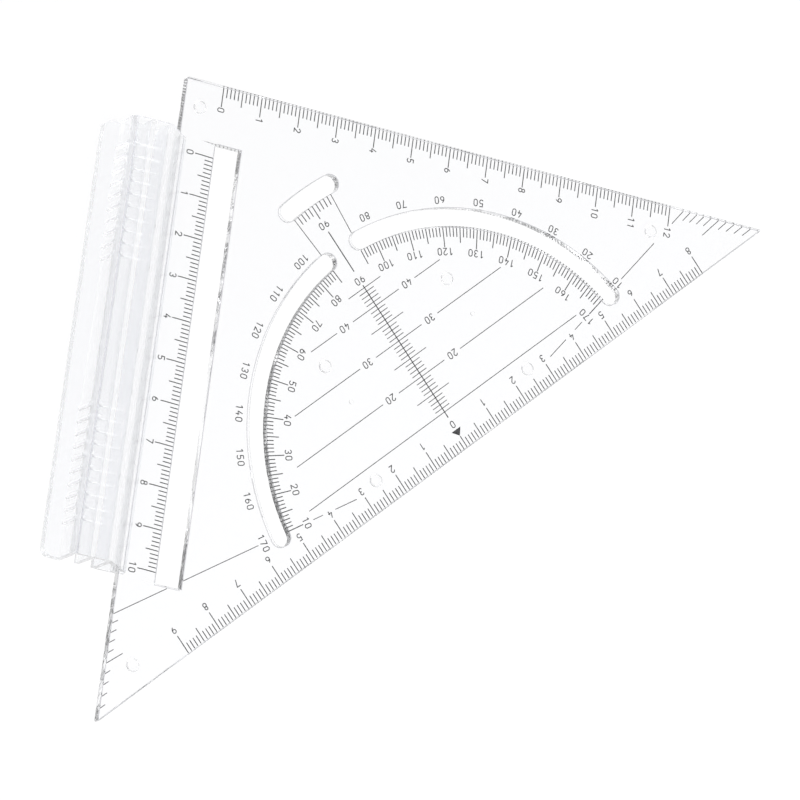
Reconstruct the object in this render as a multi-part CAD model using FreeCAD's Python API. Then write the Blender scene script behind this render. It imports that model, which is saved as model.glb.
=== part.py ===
"""Clear drawing-board set square: an isosceles right-angled plate with a push-on grip.

Frame: the object lies flat, +Z up, +X along the graduated leg and +Y from the far corner to
the right-angle corner. The origin is under the middle of the whole object's box, on the
surface that the object lies on.

The shapes are built in the plate's own frame, in millimetres: the right-angle corner A is at
(0, 0), corner B at (LEG, 0) and corner C at (0, -LEG). Everything is shifted to the row frame
when it is written.
"""
import FreeCAD, Part
import math
import os

V = FreeCAD.Vector

# ---- plate ----
LEG = 155.0                  # both equal legs
PLATE_T = 2.2                # plate thickness
LIFT = 0.8                   # height of the plate's underside over the drawing surface
CORNER_R = 0.6               # blunted right-angle corner
TIP_R = 0.3                  # blunted 45 degree corners
EDGE_BREAK = 0.16            # the plate's top and bottom edges are broken by this much
ZERO_TO_B = 100.0            # protractor centre to corner B, along the long edge

WINDOW_X0, WINDOW_X1 = 9.9, 16.0      # long straight pencil slot beside leg AC
WINDOW_Y0, WINDOW_Y1 = -120.4, -14.4
BEVEL_X0 = 5.5               # bevel of the slot's graduated side starts here
BEVEL_EDGE_T = 0.8           # plate thickness left at the slot's edge

ARC_R_IN, ARC_R_OUT = 53.0, 57.4      # the two protractor slots
ARC_FROM, ARC_TO = 9.45, 84.6         # end centres, degrees from the long edge
TOP_R_IN, TOP_R_OUT = 68.0, 72.4      # short slot across the 90 degree line
TOP_HALF_ANGLE = 5.4

NUB_R = 1.6                  # moulded feet under the plate
NUB_ROUND = 0.75             # their rims are rounded almost up to the plate
NUBS_UV = [(-20.0, 35.3), (20.0, 35.3), (-25.1, 6.5), (25.1, 6.5)]
NUBS_XY = [(4.7, -6.2), (125.6, -7.2), (7.3, -139.9)]
GATES_UV = [(-20.0, 25.1), (20.0, 25.1)]     # where the moulding was filled: a dimple with a pip
GATE_R, GATE_DEPTH = 2.2, 0.25
PIP_R, PIP_H = 0.55, 0.2

# ---- grip ----
GRIP_Y0, GRIP_Y1 = -119.5, -14.9      # ends of the grip along leg AC
GRIP_X0 = -18.8              # outer edge of the guide strip
GRIP_WALL_X = -15.0          # outer face of the finger wall
GRIP_TOP = 11.0
GRIP_FOOT_X = 1.8            # where the sloping side comes down on the plate
GRIP_CREST_X = -5.3          # where the flat top turns into the sloping side
GRIP_CREST_R = 2.2
STRIP_T = 2.6
STRIP_CORNER_R = 2.2
WALL_T = 1.4
WEB_T = 1.2
WEB_X = [-9.7, -5.2]         # middles of the two inner webs
WEB_LIFT = 0.8               # the free web stops short of the drawing surface
JAW_X = 2.1                  # reach of the lower jaw under the plate
JAW_T = 0.68
STOP_X = -0.1                # inner stop that the plate's edge comes up against
STOP_T = 1.1
GROOVE_CLEAR = 0.05          # between the plate's top and the upper jaw

RIB_COUNT = 10
RIB_PITCH = 3.0
RIB_W = 1.7                  # of the whole rib; its round top is all that shows
RIB_H = 0.35                 # height over the skin
RIB_X_END = -7.0
RIB_ROUND = 0.8
RIB_FIRST_Y = [-21.3, -84.2]          # first rib of each group

# ---- print on the plate's underside ----
INK_T = 0.03
FINE, BOLD = 0.18, 0.23      # line widths
TICK_1, TICK_5, TICK_10 = 2.2, 3.6, 4.7
EDGE_GAP = EDGE_BREAK        # print stops where the edge is broken
FIG_H, FIG_W = 1.62, 0.88    # figure height and width between the middles of its strokes
FIG_LINE = 0.22
FIG_PITCH = 1.5

SCALE_0_X = 10.0             # leg scale: zero, and its length in centimetres
LEG_SCALE_CM = 12
LEG_FIG_Y = -5.6
LONG_CM_C, LONG_CM_B = 9, 8  # long-edge scale: centimetres towards C and towards B
LONG_FIG_V = 6.45
WIN_ZERO_Y = -17.4           # slot scale
WIN_CM = 10
WIN_FIG_X = 3.75

FIG_R_IN, FIG_R_OUT, FIG_R_TOP = 47.05, 59.5, 62.6
RAY_IN = [(32.6, 38.8), (42.4, 45.2)] # pieces of the 10 and 170 degree rays inside the slots
RAY_OUT_R = 61.0             # the same rays outside the slots start here
AXIS_PIECES = [(8.4, 45.7), (49.5, 60.7)]
AXIS_LINE = 0.26             # the 90 degree line is the boldest
LADDER_FROM, LADDER_TO = 10, 45
LADDER_HALF_1, LADDER_HALF_5 = 2.3, 5.2
PARALLELS = [(10, 44.2), (20, 40.6), (30, 33.9), (40, 21.1)]  # height over the edge, half length
PARALLEL_GAP = (7.5, 12.7)   # break in each labelled parallel, for its figure
PARALLEL_FIG_U = 10.2
ARROW_V = (3.3, 5.0)
ARROW_HALF = 1.45
ZERO_TICK = 3.0
EDGE_DEGREES = range(1, 10)  # the degrees under 10, marked at the two legs
EDGE_TICK, EDGE_TICK_5 = 2.95, 6.1
AC_TICK_CUT = 0.55           # the marks at leg AC are this much shorter
SLOT_GAP = 0.2               # the 170 degree ray stops this far short of the long slot
RAY_BREAK = (74.2, 81.5)     # the 10 degree ray makes way for a figure of the leg scale

# ---- frame ----
TIP = LEG - TIP_R * (1 / math.tan(math.radians(22.5)) - 1)   # the blunted corners' reach
SHIFT = V(-(GRIP_X0 + TIP) / 2, TIP / 2, 0)
ROOT2 = math.sqrt(2)
O = V(LEG - ZERO_TO_B / ROOT2, -ZERO_TO_B / ROOT2, 0)   # protractor centre on the long edge
ALONG = V(1, 1, 0) / ROOT2            # along the long edge, C to B
INTO = V(-1, 1, 0) / ROOT2            # from the long edge into the plate
TOP_Z = LIFT + PLATE_T
INK_Z = LIFT - INK_T
CUT_Z = LIFT - 1             # cutters reach from under the plate to over it
CUT_H = PLATE_T + 2


def uv(u, v, z=0.0):
    """A point u along the long edge from the protractor centre and v into the plate."""
    return O + ALONG * u + INTO * v + V(0, 0, z)


def polar(radius, degrees, z=0.0):
    """A point at a protractor angle, counted from the long edge on B's side."""
    return uv(radius * math.cos(math.radians(degrees)), radius * math.sin(math.radians(degrees)), z)


def prism(points, z0, height):
    """A straight prism over a polygon."""
    flat = [V(p.x, p.y, z0) for p in points]
    return Part.Face(Part.makePolygon(flat + flat[:1])).extrude(V(0, 0, height))


def y_prism(edges, y0, y1):
    """A prism along Y over a closed outline drawn in the XZ plane at y = 0."""
    solid = Part.Face(Part.Wire(Part.__sortEdges__(edges))).extrude(V(0, y1 - y0, 0))
    solid.translate(V(0, y0, 0))
    return solid


def xz_polygon(points):
    """Edges of a closed polygon in the XZ plane."""
    corners = [V(x, 0, z) for x, z in points]
    return Part.makePolygon(corners + corners[:1]).Edges


def arc_slot(r_in, r_out, start, end):
    """The cutter for a slot with round ends that follows a circle about the protractor centre."""
    r_mid = (r_in + r_out) / 2
    over = math.degrees((r_out - r_in) / 2 / r_mid)
    ring = [(r_out, start), (r_out, (start + end) / 2), (r_out, end), (r_mid, end + over),
            (r_in, end), (r_in, (start + end) / 2), (r_in, start), (r_mid, start - over)]
    points = [polar(radius, degrees, CUT_Z) for radius, degrees in ring + ring[:1]]
    arcs = [Part.Arc(*points[i:i + 3]).toShape() for i in range(0, len(ring), 2)]
    return Part.Face(Part.Wire(arcs)).extrude(V(0, 0, CUT_H))


# ---------------------------------------------------------------- plate
def upright_edges(solid, x, y):
    """The upright edges at (x, y)."""
    return [e for e in solid.Edges if e.BoundBox.ZLength > 0.1
            and math.hypot(e.BoundBox.XMin - x, e.BoundBox.YMin - y) < 0.1]


def make_plate():
    """The clear plate, with its slots, bevel and moulded feet."""
    plate = prism([V(0, 0, 0), V(LEG, 0, 0), V(0, -LEG, 0)], LIFT, PLATE_T)
    plate = plate.makeFillet(CORNER_R, upright_edges(plate, 0, 0))
    plate = plate.makeFillet(TIP_R, upright_edges(plate, LEG, 0) + upright_edges(plate, 0, -LEG))
    window = Part.makeBox(WINDOW_X1 - WINDOW_X0, WINDOW_Y1 - WINDOW_Y0, CUT_H,
                          V(WINDOW_X0, WINDOW_Y0, CUT_Z))
    bevel = xz_polygon([(BEVEL_X0, TOP_Z), (WINDOW_X0, LIFT + BEVEL_EDGE_T),
                        (WINDOW_X0, CUT_Z + CUT_H), (BEVEL_X0, CUT_Z + CUT_H)])
    plate = plate.cut([window,
                       arc_slot(ARC_R_IN, ARC_R_OUT, ARC_FROM, ARC_TO),
                       arc_slot(ARC_R_IN, ARC_R_OUT, 180 - ARC_TO, 180 - ARC_FROM),
                       arc_slot(TOP_R_IN, TOP_R_OUT, 90 - TOP_HALF_ANGLE, 90 + TOP_HALF_ANGLE)])
    plate = plate.makeChamfer(EDGE_BREAK, flat_edges(plate))
    dimples = [make_dimple(uv(u, v)) for u, v in GATES_UV]
    plate = plate.cut([y_prism(bevel, WINDOW_Y0, WINDOW_Y1)] + dimples)
    pips = [Part.makeCylinder(PIP_R, PIP_H + GATE_DEPTH, uv(u, v, TOP_Z - 2 * GATE_DEPTH))
            for u, v in GATES_UV]
    return plate.fuse([make_nub(p) for p in nub_places()] + pips).removeSplitter()


def flat_edges(solid):
    """All edges round the plate's top and bottom faces."""
    return [e for e in solid.Edges if e.BoundBox.ZLength < 0.01]


def make_dimple(place):
    """The cutter for a shallow round dimple in the plate's top."""
    radius = (GATE_R ** 2 + GATE_DEPTH ** 2) / (2 * GATE_DEPTH)
    return Part.makeSphere(radius, V(place.x, place.y, TOP_Z + radius - GATE_DEPTH))


def nub_places():
    """The middles of the moulded feet."""
    return [uv(u, v) for u, v in NUBS_UV] + [V(x, y, 0) for x, y in NUBS_XY]


def make_nub(place):
    """A low round foot, domed at its rim."""
    nub = Part.makeCylinder(NUB_R, LIFT, V(place.x, place.y, 0))
    rim = [e for e in nub.Edges if e.BoundBox.ZMax < 0.01]
    return nub.makeFillet(NUB_ROUND, rim)


# ---------------------------------------------------------------- grip
def slope_z(x, drop=0.0):
    """Height of the sloping side at x, or of a surface a given thickness under it."""
    rise = (GRIP_TOP - TOP_Z) / (GRIP_CREST_X - GRIP_FOOT_X)
    return TOP_Z + rise * (x - GRIP_FOOT_X) - drop * math.hypot(1, rise)


def grip_outline():
    """The grip's outer section: guide strip, finger wall, flat top, slope and the two jaws."""
    groove_top = TOP_Z + GROOVE_CLEAR
    foot = GRIP_FOOT_X - GROOVE_CLEAR
    points = [(GRIP_X0, 0), (GRIP_X0, STRIP_T), (GRIP_WALL_X, STRIP_T), (GRIP_WALL_X, GRIP_TOP),
              (GRIP_CREST_X, GRIP_TOP), (foot, slope_z(foot)), (foot, groove_top),
              (STOP_X, groove_top), (STOP_X, JAW_T), (JAW_X, JAW_T), (JAW_X, 0)]
    return xz_polygon(points)


def grip_hollows():
    """The hollow round the free web, open below, and the tunnel beside the groove."""
    ceiling = GRIP_TOP - WALL_T
    wall = GRIP_WALL_X + WALL_T
    left, right = WEB_X
    half = WEB_T / 2
    stop = STOP_X - STOP_T
    main = [(wall, -1), (wall, ceiling), (left - half, ceiling), (left - half, WEB_LIFT),
            (left + half, WEB_LIFT), (left + half, ceiling), (right - half, ceiling),
            (right - half, -1)]
    tunnel = [(right + half, JAW_T), (right + half, slope_z(right + half, WALL_T)),
              (stop, slope_z(stop, WALL_T)), (stop, JAW_T)]
    return [xz_polygon(main), xz_polygon(tunnel)]


def long_edges(solid, places):
    """Edges that run along Y through the given (x, z) places."""
    found = []
    for edge in solid.Edges:
        box = edge.BoundBox
        if box.YLength < GRIP_Y1 - GRIP_Y0 - 1:
            continue
        if any(math.hypot(box.XMin - x, box.ZMin - z) < 0.05 for x, z in places):
            found.append(edge)
    return found


def make_rib():
    """One finger rib, over the flat top and down the finger wall, starting at y = 0."""
    face = GRIP_WALL_X - RIB_H
    over = GRIP_TOP + RIB_H
    inside = RIB_ROUND + RIB_H
    bend = GRIP_CREST_R + RIB_H
    points = [(face, STRIP_T), (face, over), (RIB_X_END, over), (RIB_X_END, GRIP_TOP - inside),
              (GRIP_WALL_X + inside, GRIP_TOP - inside), (GRIP_WALL_X + inside, STRIP_T)]
    rib = y_prism(xz_polygon(points), 0, RIB_W)

    def outer(edge):
        box = edge.BoundBox
        return box.YLength > RIB_W - 0.1 and abs(box.ZMax - over) < 0.05

    rib = rib.makeFillet(bend, [e for e in rib.Edges if outer(e) and e.BoundBox.XMax < face + 0.1])
    rib = rib.makeFillet(RIB_ROUND, [e for e in rib.Edges if outer(e)
                                     and abs(e.BoundBox.XMin - RIB_X_END) < 0.05])
    sides = []
    for edge in rib.Edges:
        box = edge.BoundBox
        on_skin = box.ZMax > GRIP_TOP + 0.02 or box.XMin < GRIP_WALL_X - 0.02
        if box.YLength < 0.01 and on_skin and max(box.XLength, box.ZLength) > RIB_H + 0.2:
            sides.append(edge)
    return rib.makeFillet(RIB_ROUND, sides)


def make_grip():
    """The push-on grip: a ribbed, hollow profile with a guide strip and a groove for the plate."""
    body = y_prism(grip_outline(), GRIP_Y0, GRIP_Y1)
    body = body.makeFillet(GRIP_CREST_R, long_edges(body, [(GRIP_WALL_X, GRIP_TOP),
                                                           (GRIP_CREST_X, GRIP_TOP)]))
    body = body.cut([y_prism(edges, GRIP_Y0 - 1, GRIP_Y1 + 1) for edges in grip_hollows()])
    corners = [e for e in body.Edges
               if e.BoundBox.XMax < GRIP_X0 + 0.01 and e.BoundBox.ZLength > STRIP_T - 0.1
               and e.BoundBox.YLength < 0.01]
    body = body.makeFillet(STRIP_CORNER_R, corners)
    rib = make_rib()
    ribs = []
    for first in RIB_FIRST_Y:
        for i in range(RIB_COUNT):
            place = rib.copy()
            place.translate(V(0, first - i * RIB_PITCH - RIB_W / 2, 0))
            ribs.append(place)
    return body.fuse(ribs).removeSplitter()


# ---------------------------------------------------------------- print: lines
def ink_line(p, q, width=FINE):
    """A straight printed line from p to q."""
    run = q - p
    side = V(-run.y, run.x, 0).normalize() * (width / 2)
    return prism([p + side, p - side, q - side, q + side], INK_Z, INK_T)


def tick_length(i):
    """Length of the i-th graduation line: tens are longest, then fives."""
    if i % 10 == 0:
        return TICK_10
    return TICK_5 if i % 5 == 0 else TICK_1


def ticks(count, start, step, out, lengths=tick_length, first=0):
    """A row of graduation lines: start + i * step, each running out from there."""
    return [ink_line(start + step * i, start + step * i + out * lengths(abs(i)), BOLD)
            for i in range(first, count + 1)]


# ---------------------------------------------------------------- print: figures
def disc(x, y):
    """The round end of a figure's stroke."""
    return Part.makeCylinder(FIG_LINE / 2, INK_T, V(x, y, 0))


def stroke(*points):
    """Straight strokes through the points, with round ends and corners."""
    shapes = [disc(*points[0])]
    for (ax, ay), (bx, by) in zip(points, points[1:]):
        run = V(bx - ax, by - ay, 0)
        side = V(-run.y, run.x, 0).normalize() * (FIG_LINE / 2)
        a, b = V(ax, ay, 0), V(bx, by, 0)
        shapes += [prism([a + side, a - side, b - side, b + side], 0, INK_T), disc(bx, by)]
    return shapes


def bow(x, y, radius, start, end):
    """A stroke along a circle, from start to end degrees."""
    ring = Part.makeCylinder(radius + FIG_LINE / 2, INK_T, V(x, y, 0), V(0, 0, 1), end - start)
    ring = ring.cut(Part.makeCylinder(radius - FIG_LINE / 2, INK_T, V(x, y, 0)))
    ring.rotate(V(x, y, 0), V(0, 0, 1), start)
    tips = [] if end - start >= 360 else [
        disc(x + radius * math.cos(math.radians(a)), y + radius * math.sin(math.radians(a)))
        for a in (start, end)]
    return [ring] + tips


def figure_shapes():
    """The ten figures, each centred on the origin, upright along +Y."""
    h, w = FIG_H / 2, FIG_W / 2
    low, high = -h + w, h - w
    quarter = h / 2
    figures = {
        0: bow(0, high, w, 0, 180) + bow(0, low, w, 180, 360)
        + stroke((-w, low), (-w, high)) + stroke((w, low), (w, high)),
        1: stroke((-0.55 * w, h - 0.6 * w), (0.25 * w, h), (0.25 * w, -h)),
        2: bow(0, high, w, -25, 165) + stroke((w * 0.9, high - 0.42 * w), (-w, -h), (w, -h)),
        3: bow(0, quarter, quarter, -90, 150) + bow(0, -quarter, quarter, -150, 90),
        4: stroke((0.1 * w, h), (-w, -0.35 * h), (w, -0.35 * h))
        + stroke((0.45 * w, 0), (0.45 * w, -h)),
        5: stroke((0.85 * w, h), (-0.7 * w, h), (-0.85 * w, 0.1 * h))
        + bow(-0.08 * w, low, 1.06 * w, -140, 130),
        6: bow(0, low, w, 0, 360) + bow(0.9 * h, low, 0.9 * h + w, 128, 180),
        7: stroke((-w, h), (w, h), (-0.25 * w, -h)),
        8: bow(0, low, w, 0, 360) + bow(0, h - 0.84 * w, 0.84 * w, 0, 360),
    }
    fused = {digit: shapes[0].fuse(shapes[1:]).removeSplitter()
             for digit, shapes in figures.items()}
    nine = fused[6].copy()
    nine.rotate(V(0, 0, 0), V(0, 0, 1), 180)
    fused[9] = nine
    return fused


FIGURES = figure_shapes()


def number(value, centre, up):
    """A printed number about a centre, its figures' tops pointing along up."""
    turn = math.degrees(math.atan2(up.y, up.x)) - 90
    across = V(up.y, -up.x, 0)
    digits = str(value)
    shapes = []
    for i, digit in enumerate(digits):
        figure = FIGURES[int(digit)].copy()
        figure.rotate(V(0, 0, 0), V(0, 0, 1), turn)
        place = centre + across * ((i - (len(digits) - 1) / 2) * FIG_PITCH)
        figure.translate(V(place.x, place.y, INK_Z))
        shapes.append(figure)
    return shapes


# ---------------------------------------------------------------- print: scales
def make_leg_scale():
    """Centimetre scale along leg AB, read from the far side."""
    start = V(SCALE_0_X, -EDGE_GAP, 0)
    shapes = ticks(LEG_SCALE_CM * 10, start, V(1, 0, 0), V(0, -1, 0))
    for cm in range(LEG_SCALE_CM + 1):
        middle = LEG_FIG_Y - (len(str(cm)) - 1) * FIG_PITCH / 2
        shapes += number(cm, V(SCALE_0_X + 10 * cm, middle, 0), V(1, 0, 0))
    return shapes


def make_long_scale():
    """Centimetre scale on the long edge, counted both ways from the protractor centre."""
    start = uv(0, EDGE_GAP)

    def length(i):
        return ZERO_TICK if i == 0 else tick_length(i)

    shapes = ticks(LONG_CM_B * 10, start, ALONG, INTO, length, -LONG_CM_C * 10)
    for cm in range(-LONG_CM_C, LONG_CM_B + 1):
        shapes += number(abs(cm), uv(10 * cm, LONG_FIG_V), -INTO)
    low, high = ARROW_V
    shapes.append(prism([uv(0, low), uv(ARROW_HALF, high), uv(-ARROW_HALF, high)], INK_Z, INK_T))
    return shapes


def make_window_scale():
    """Centimetre scale on the bevelled side of the long slot."""
    start = V(WINDOW_X0 - EDGE_GAP, WIN_ZERO_Y, 0)
    shapes = ticks(WIN_CM * 10, start, V(0, -1, 0), V(-1, 0, 0))
    for cm in range(WIN_CM + 1):
        shapes += number(cm, V(WIN_FIG_X, WIN_ZERO_Y - 10 * cm, 0), V(1, 0, 0))
    return shapes


def degree_tick(degree, r_edge, length, width=BOLD):
    """A line inwards from r_edge at a protractor angle."""
    return ink_line(polar(r_edge, degree), polar(r_edge - length, degree), width)


def make_degree_scale():
    """Degree lines at the inner edges of the two long arc slots and of the short one."""
    edge = ARC_R_IN - EDGE_GAP
    shapes = []
    for degree in range(10, 86):
        length = tick_length(degree)
        shapes += [degree_tick(degree, edge, length), degree_tick(180 - degree, edge, length)]
    top = TOP_R_IN - EDGE_GAP
    for degree in range(86, 95):
        shapes.append(degree_tick(degree, top, TICK_5 if degree == 90 else TICK_1))
    for degree in (85, 95):
        shapes.append(degree_tick(degree, top, top - ARC_R_OUT - EDGE_GAP, FINE))
    return shapes


def make_degree_numbers():
    """Both rows of protractor figures, tops towards the centre."""
    shapes = []
    for degree in range(10, 171, 10):
        inward = (O - polar(1, degree)).normalize()
        shapes += number(180 - degree, polar(FIG_R_IN, degree), inward)
        outer_r = FIG_R_TOP if degree == 90 else FIG_R_OUT
        shapes += number(degree, polar(outer_r, degree), inward)
    return shapes


def to_leg(degree):
    """Distance from the protractor centre to the plate's leg along a ray."""
    ray = polar(1, degree) - O
    return min(-O.y / ray.y if ray.y > 0 else math.inf, -O.x / ray.x if ray.x < 0 else math.inf)


def make_rays():
    """The 10 and 170 degree rays out to the legs, and the marks for 1 to 9 degrees there."""
    across = polar(1, 170) - O
    slot = [(WINDOW_X1 + SLOT_GAP - O.x) / across.x, (WINDOW_Y0 - SLOT_GAP - O.y) / across.y]
    shapes = []
    for degree, breaks in ((10, RAY_BREAK), (170, slot)):
        stops = [RAY_OUT_R, *breaks, to_leg(degree) - EDGE_GAP]
        shapes += [ink_line(polar(a, degree), polar(b, degree))
                   for a, b in RAY_IN + list(zip(stops[::2], stops[1::2]))]
    for small in EDGE_DEGREES:
        for degree in (small, 180 - small):
            end = to_leg(degree) - EDGE_GAP
            length = EDGE_TICK_5 if small == 5 else EDGE_TICK
            if degree > 90:
                length -= AC_TICK_CUT
            shapes.append(ink_line(polar(end - length, degree), polar(end, degree)))
    return shapes


def make_axis_grid():
    """The 90 degree line with its millimetre ladder, and the lines parallel to the long edge."""
    axis = [ink_line(uv(0, a), uv(0, b), AXIS_LINE) for a, b in AXIS_PIECES]
    rungs = []
    figures = []
    halves = dict(PARALLELS)
    near, far = PARALLEL_GAP
    for v in range(LADDER_FROM, LADDER_TO + 1):
        half = halves.get(v)
        if half is None:
            half = LADDER_HALF_5 if v % 5 == 0 else LADDER_HALF_1
        elif v > LADDER_FROM:
            for side in (-1, 1):
                figures += [ink_line(uv(side * far, v), uv(side * half, v))]
                figures += number(v, uv(side * PARALLEL_FIG_U, v), -INTO)
            half = near
        rungs.append(ink_line(uv(-half, v), uv(half, v)))
    ladder = axis[0].fuse(rungs).removeSplitter()
    return ladder.Solids + axis[1:] + figures


# ---------------------------------------------------------------- write
def save(name, shapes):
    """Write one named piece, shifted to the row frame."""
    shape = shapes[0].copy() if len(shapes) == 1 else Part.makeCompound([s.copy() for s in shapes])
    shape.translate(SHIFT)
    shape.exportStep(f"parts/{name}.step")
    box = shape.BoundBox
    print(f"{name}: {len(shape.Solids)} solids, valid {shape.isValid()}, "
          f"volume {shape.Volume:.2f} mm3, z {box.ZMin:.3f} to {box.ZMax:.3f}")


def main():
    os.makedirs("parts", exist_ok=True)
    save("plate", [make_plate()])
    save("grip", [make_grip()])
    save("leg_scale_print", make_leg_scale())
    save("long_edge_scale_print", make_long_scale())
    save("slot_scale_print", make_window_scale())
    save("degree_scale_print", make_degree_scale())
    save("degree_numbers_print", make_degree_numbers())
    save("edge_degree_print", make_rays())
    save("axis_grid_print", make_axis_grid())


main()
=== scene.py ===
"""Looks of the clear set square: polished acrylic, black print, a pale floor and soft light."""
import math

import bpy
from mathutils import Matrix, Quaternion, Vector

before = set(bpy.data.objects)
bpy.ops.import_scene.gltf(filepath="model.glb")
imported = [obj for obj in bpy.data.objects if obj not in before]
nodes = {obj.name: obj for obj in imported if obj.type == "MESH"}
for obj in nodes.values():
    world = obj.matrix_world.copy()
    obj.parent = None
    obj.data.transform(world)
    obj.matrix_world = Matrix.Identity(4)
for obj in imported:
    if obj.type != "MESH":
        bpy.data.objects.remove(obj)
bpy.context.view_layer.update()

# ---- camera: where it stands round the object, and how it is turned ----
AIM = Vector((-0.0018, 0.0143, 0.0))
VIEW_AZIMUTH = -58.16
VIEW_ELEVATION = 61.46
VIEW_ROLL = 68.76
VIEW_DISTANCE = 1.5146
LENS_MM = 289.66
SENSOR_MM = 36.0
CLIP_NEAR, CLIP_FAR = 0.05, 60.0

# ---- acrylic ----
ACRYLIC_IOR = 1.49
PLATE_TINT = (0.988, 0.990, 0.998, 1.0)    # colour taken on at each face
GRIP_TINT = (0.972, 0.977, 0.987, 1.0)
PLATE_SHADE = (0.994, 0.994, 0.995, 1.0)   # what one face lets through to the floor
GRIP_SHADE = (0.992, 0.992, 0.994, 1.0)
PLATE_RIPPLE, GRIP_RIPPLE = 0.00001, 0.00002   # height of the mould's ripple
RIPPLE_SCALE, RIPPLE_STRENGTH = 90, 0.4
PLATE_HAZE, GRIP_HAZE = 0.0, 0.14      # roughness where there is no wear
WEAR_SCALE, WEAR_DETAIL = 900, 3.0
WEAR_STRETCH = (1.0, 0.12, 1.0)        # hairlines run along Y
WEAR_RANGE = (0.45, 0.75)              # the pattern's values that show as wear
WEAR_ROUGHNESS = 0.05

# ---- painted shade on edges and roundings, told from the flat faces by the upright part of their normals ----
PLATE_EDGES = (0.5, 0.9)               # takes in the broken edges, not the walls or the flats
# painted shade: dark grey laid on the plate's broken edges, standing in for the dark outlines along
# them
PLATE_EDGE_PAINTED_SHADE = (0.42, 0.42, 0.45, 1.0)
PLATE_UNDERSIDE = 0.0008               # the feet lie under this height and stay clear
GRIP_EDGES = (0.1, 0.9)
# painted shade: grey laid on the grip's roundings and rib flanks on the finger side
GRIP_EDGE_PAINTED_SHADE = (0.82, 0.83, 0.86, 1.0)
GRIP_ROUNDING = -0.0807                # the finger side's rounding ends here along X

# ---- printing ink ----
INK_PATCH_SCALE, INK_PATCH_DETAIL = 700, 4.0
INK_STOPS = [(0.35, (0.012, 0.012, 0.014, 1)), (0.75, (0.045, 0.045, 0.05, 1))]
INK_PATCH_RANGE, INK_ROUGHNESS = (0.3, 0.8), (0.5, 0.75)
INK_GRAIN_SCALE, INK_GRAIN_HEIGHT, INK_GRAIN_STRENGTH = 9000, 0.000004, 0.6

# ---- stage and light ----
ZENITH, HORIZON = 0.78, 0.52           # strength of the soft surrounding light
ZENITH_FROM = 0.4                      # height in the sky from which it has its full strength
WHITE = (1, 1, 1, 1)
FLOOR_SIZE = 24.0
FLOOR_DROP = 0.00003                   # the floor lies this far under the object's feet
FLOOR_COLOUR = (0.93, 0.93, 0.93, 1)
FLOOR_ROUGHNESS, FLOOR_SPECULAR = 0.9, 0.1
SOFTBOXES = [("softbox_left", (-0.9, 0.7, 1.2), 0.9, 2.0),       # name, place, size, watts
             ("softbox_right", (0.65, -0.95, 1.12), 1.0, 12.5)]
BOUNCES, TRANSPARENT_BOUNCES = 96, 24  # light runs far along inside the plate


# ---------------------------------------------------------------- materials
def new_material(name):
    """An empty node material with its Principled shader; returns (material, tree, shader)."""
    material = bpy.data.materials.new(name)
    material.use_nodes = True
    tree = material.node_tree
    return material, tree, tree.nodes["Principled BSDF"]


def object_place(tree):
    """The place on the object, in metres."""
    return tree.nodes.new("ShaderNodeTexCoord").outputs["Object"]


def split_xyz(tree, vector):
    """The X, Y and Z parts of a vector."""
    node = tree.nodes.new("ShaderNodeSeparateXYZ")
    tree.links.new(vector, node.inputs["Vector"])
    return node.outputs


def noise(tree, coordinates, scale, detail=2.0, stretch=(1, 1, 1)):
    """A noise pattern in the object's own metres, drawn out along an axis by stretch."""
    mapping = tree.nodes.new("ShaderNodeMapping")
    mapping.inputs["Scale"].default_value = stretch
    texture = tree.nodes.new("ShaderNodeTexNoise")
    texture.inputs["Scale"].default_value = scale
    texture.inputs["Detail"].default_value = detail
    tree.links.new(coordinates, mapping.inputs["Vector"])
    tree.links.new(mapping.outputs["Vector"], texture.inputs["Vector"])
    return texture.outputs["Fac"]


def spread(tree, value, source, target):
    """The pattern's values in the source range, mapped to the target range."""
    node = tree.nodes.new("ShaderNodeMapRange")
    sockets = ("From Min", "From Max", "To Min", "To Max")
    for socket, number in zip(sockets, (*source, *target)):
        node.inputs[socket].default_value = number
    tree.links.new(value, node.inputs["Value"])
    return node.outputs["Result"]


def add_bump(tree, shader, height, distance, strength):
    """A bump of the given height in metres on the shader's surface."""
    node = tree.nodes.new("ShaderNodeBump")
    node.inputs["Strength"].default_value = strength
    node.inputs["Distance"].default_value = distance
    tree.links.new(height, node.inputs["Height"])
    tree.links.new(node.outputs["Normal"], shader.inputs["Normal"])


def math_node(tree, operation, a, b=None):
    """One arithmetic step on a pattern's values."""
    node = tree.nodes.new("ShaderNodeMath")
    node.operation = operation
    for socket, value in zip(node.inputs, (a, b)):
        if isinstance(value, (int, float)):
            socket.default_value = value
        elif value is not None:
            tree.links.new(value, socket)
    return node.outputs["Value"]


def let_light_through(tree, shader, tint):
    """Lets lamps and the floor's light pass the clear wall, a little dimmed by tint."""
    path = tree.nodes.new("ShaderNodeLightPath").outputs
    clear = tree.nodes.new("ShaderNodeBsdfTransparent")
    clear.inputs["Color"].default_value = tint
    surface = shader.outputs["BSDF"]
    for rays in ("Is Shadow Ray", "Is Diffuse Ray"):
        mix = tree.nodes.new("ShaderNodeMixShader")
        tree.links.new(path[rays], mix.inputs["Fac"])
        tree.links.new(surface, mix.inputs[1])
        tree.links.new(clear.outputs["BSDF"], mix.inputs[2])
        surface = mix.outputs["Shader"]
    tree.links.new(surface, tree.nodes["Material Output"].inputs["Surface"])


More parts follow.
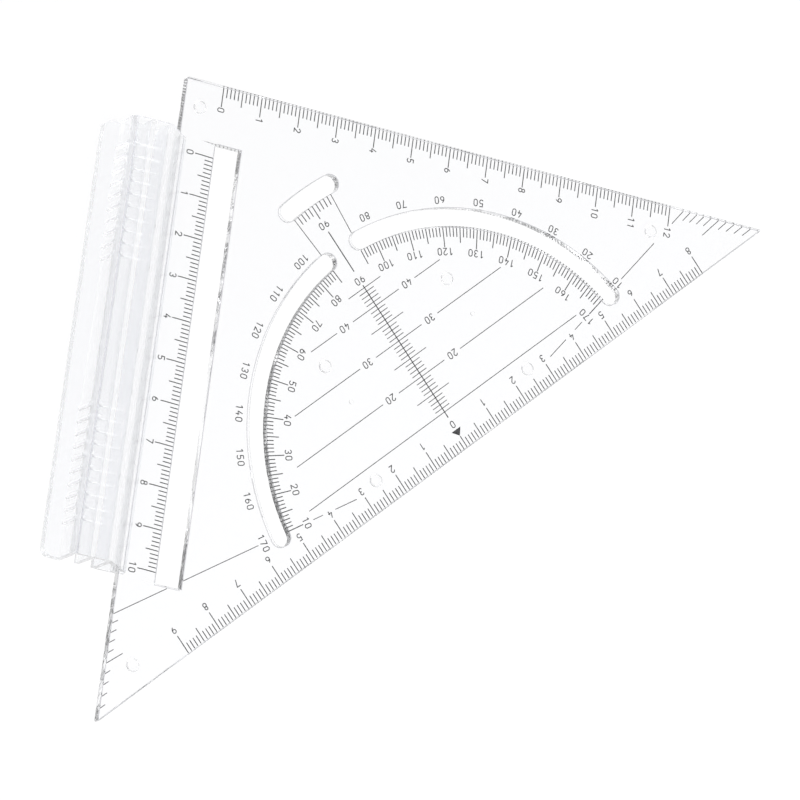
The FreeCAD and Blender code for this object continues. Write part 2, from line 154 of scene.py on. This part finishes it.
def acrylic(name, tint, ripple, shade, haze):
    """Clear moulded acrylic: polished, with the mould's faint ripple, haze and hairline wear."""
    material, tree, shader = new_material(name)
    place = object_place(tree)
    shader.inputs["Base Color"].default_value = tint
    shader.inputs["Transmission Weight"].default_value = 1.0
    shader.inputs["IOR"].default_value = ACRYLIC_IOR
    wear = noise(tree, place, WEAR_SCALE, WEAR_DETAIL, WEAR_STRETCH)
    roughness = spread(tree, wear, WEAR_RANGE, (haze, haze + WEAR_ROUGHNESS))
    tree.links.new(roughness, shader.inputs["Roughness"])
    add_bump(tree, shader, noise(tree, place, RIPPLE_SCALE), ripple, RIPPLE_STRENGTH)
    let_light_through(tree, shader, shade)
    return material


def paint_edge_shade(material, slopes, tint, axis, beyond, limit):
    """Paints shade onto the edges and roundings on one side of a limit by mixing a darker colour
    into the base colour.
    """
    tree = material.node_tree
    shader = tree.nodes["Principled BSDF"]
    normal = tree.nodes.new("ShaderNodeNewGeometry").outputs["True Normal"]
    slope = math_node(tree, "ABSOLUTE", split_xyz(tree, normal)["Z"])
    place = split_xyz(tree, object_place(tree))
    # painted shade: the mask picks the sloping faces that get the darker colour
    painted_shade_mask = math_node(tree, "GREATER_THAN", slope, slopes[0])
    painted_shade_mask = math_node(tree, "MULTIPLY", painted_shade_mask, math_node(tree, "LESS_THAN", slope, slopes[1]))
    painted_shade_mask = math_node(tree, "MULTIPLY", painted_shade_mask, math_node(tree, beyond, place[axis], limit))
    mix = tree.nodes.new("ShaderNodeMix")
    mix.data_type = "RGBA"
    mix.inputs["A"].default_value = shader.inputs["Base Color"].default_value
    mix.inputs["B"].default_value = tint
    tree.links.new(painted_shade_mask, mix.inputs["Factor"])
    tree.links.new(mix.outputs["Result"], shader.inputs["Base Color"])


def printing_ink():
    """Black screen print: matt, a little uneven where the ink lies thinner."""
    material, tree, shader = new_material("black_print")
    place = object_place(tree)
    patches = noise(tree, place, INK_PATCH_SCALE, INK_PATCH_DETAIL)
    ramp = tree.nodes.new("ShaderNodeValToRGB")
    for element, (position, colour) in zip(ramp.color_ramp.elements, INK_STOPS):
        element.position = position
        element.color = colour
    tree.links.new(patches, ramp.inputs["Fac"])
    tree.links.new(ramp.outputs["Color"], shader.inputs["Base Color"])
    roughness = spread(tree, patches, INK_PATCH_RANGE, INK_ROUGHNESS)
    tree.links.new(roughness, shader.inputs["Roughness"])
    grain = noise(tree, place, INK_GRAIN_SCALE)
    add_bump(tree, shader, grain, INK_GRAIN_HEIGHT, INK_GRAIN_STRENGTH)
    return material


def paint(name, material):
    """Gives one CAD node its material."""
    for slot in nodes[name].material_slots:
        slot.material = material
    if not nodes[name].material_slots:
        nodes[name].data.materials.append(material)


def paint_all():
    """Gives every CAD node its material. The thin print throws no shadow or colour on the floor."""
    clear_plate = acrylic("clear_plate", PLATE_TINT, PLATE_RIPPLE, PLATE_SHADE, PLATE_HAZE)
    paint_edge_shade(clear_plate, PLATE_EDGES, PLATE_EDGE_PAINTED_SHADE, "Z", "GREATER_THAN", PLATE_UNDERSIDE)
    paint("plate", clear_plate)
    clear_grip = acrylic("clear_grip", GRIP_TINT, GRIP_RIPPLE, GRIP_SHADE, GRIP_HAZE)
    paint_edge_shade(clear_grip, GRIP_EDGES, GRIP_EDGE_PAINTED_SHADE, "X", "LESS_THAN", GRIP_ROUNDING)
    paint("grip", clear_grip)
    ink = printing_ink()
    for name in sorted(nodes):
        if name.endswith("_print"):
            paint(name, ink)
            nodes[name].visible_shadow = False
            nodes[name].visible_diffuse = False


# ---------------------------------------------------------------- stage
def make_floor():
    """A wide pale floor under the object."""
    bpy.ops.mesh.primitive_plane_add(size=FLOOR_SIZE, location=(0, 0, -FLOOR_DROP))
    floor = bpy.context.object
    floor.name = "floor"
    material, _, shader = new_material("pale_floor")
    shader.inputs["Base Color"].default_value = FLOOR_COLOUR
    shader.inputs["Roughness"].default_value = FLOOR_ROUGHNESS
    shader.inputs["Specular IOR Level"].default_value = FLOOR_SPECULAR
    floor.data.materials.append(material)


def make_world():
    """Soft light from all round, weaker towards the horizon."""
    world = bpy.data.worlds.new("studio")
    bpy.context.scene.world = world
    world.use_nodes = True
    tree = world.node_tree
    direction = tree.nodes.new("ShaderNodeTexCoord").outputs["Generated"]
    height = split_xyz(tree, direction)["Z"]
    strength = spread(tree, height, (0.0, ZENITH_FROM), (HORIZON, ZENITH))
    tree.links.new(strength, tree.nodes["Background"].inputs["Strength"])
    tree.nodes["Background"].inputs["Color"].default_value = WHITE


def make_lamp(name, place, size, power):
    """A square soft box at place, facing the object."""
    data = bpy.data.lights.new(name, "AREA")
    data.size = size
    data.energy = power
    lamp = bpy.data.objects.new(name, data)
    bpy.context.scene.collection.objects.link(lamp)
    lamp.location = place
    lamp.rotation_mode = "QUATERNION"
    lamp.rotation_quaternion = (Vector(place) - AIM).to_track_quat("Z", "Y")


def make_camera():
    """The camera, looking down at the object from the grip's side."""
    azimuth, elevation = math.radians(VIEW_AZIMUTH), math.radians(VIEW_ELEVATION)
    back = Vector((math.sin(azimuth) * math.cos(elevation),
                   -math.cos(azimuth) * math.cos(elevation), math.sin(elevation)))
    data = bpy.data.cameras.new("camera")
    data.lens = LENS_MM
    data.sensor_width = SENSOR_MM
    data.clip_start, data.clip_end = CLIP_NEAR, CLIP_FAR
    camera = bpy.data.objects.new("camera", data)
    bpy.context.scene.collection.objects.link(camera)
    camera.location = AIM + back * VIEW_DISTANCE
    roll = Quaternion((0, 0, 1), math.radians(VIEW_ROLL))
    camera.rotation_mode = "QUATERNION"
    camera.rotation_quaternion = back.to_track_quat("Z", "Y") @ roll
    bpy.context.scene.camera = camera


def set_light_paths():
    """Enough bounces for light that runs along inside the acrylic, and plain display colours."""
    scene = bpy.context.scene
    scene.view_settings.view_transform = "Standard"
    scene.cycles.glossy_bounces = BOUNCES
    scene.cycles.transmission_bounces = BOUNCES
    scene.cycles.max_bounces = BOUNCES
    scene.cycles.transparent_max_bounces = TRANSPARENT_BOUNCES


make_camera()
make_floor()
make_world()
for softbox in SOFTBOXES:
    make_lamp(*softbox)
set_light_paths()
paint_all()
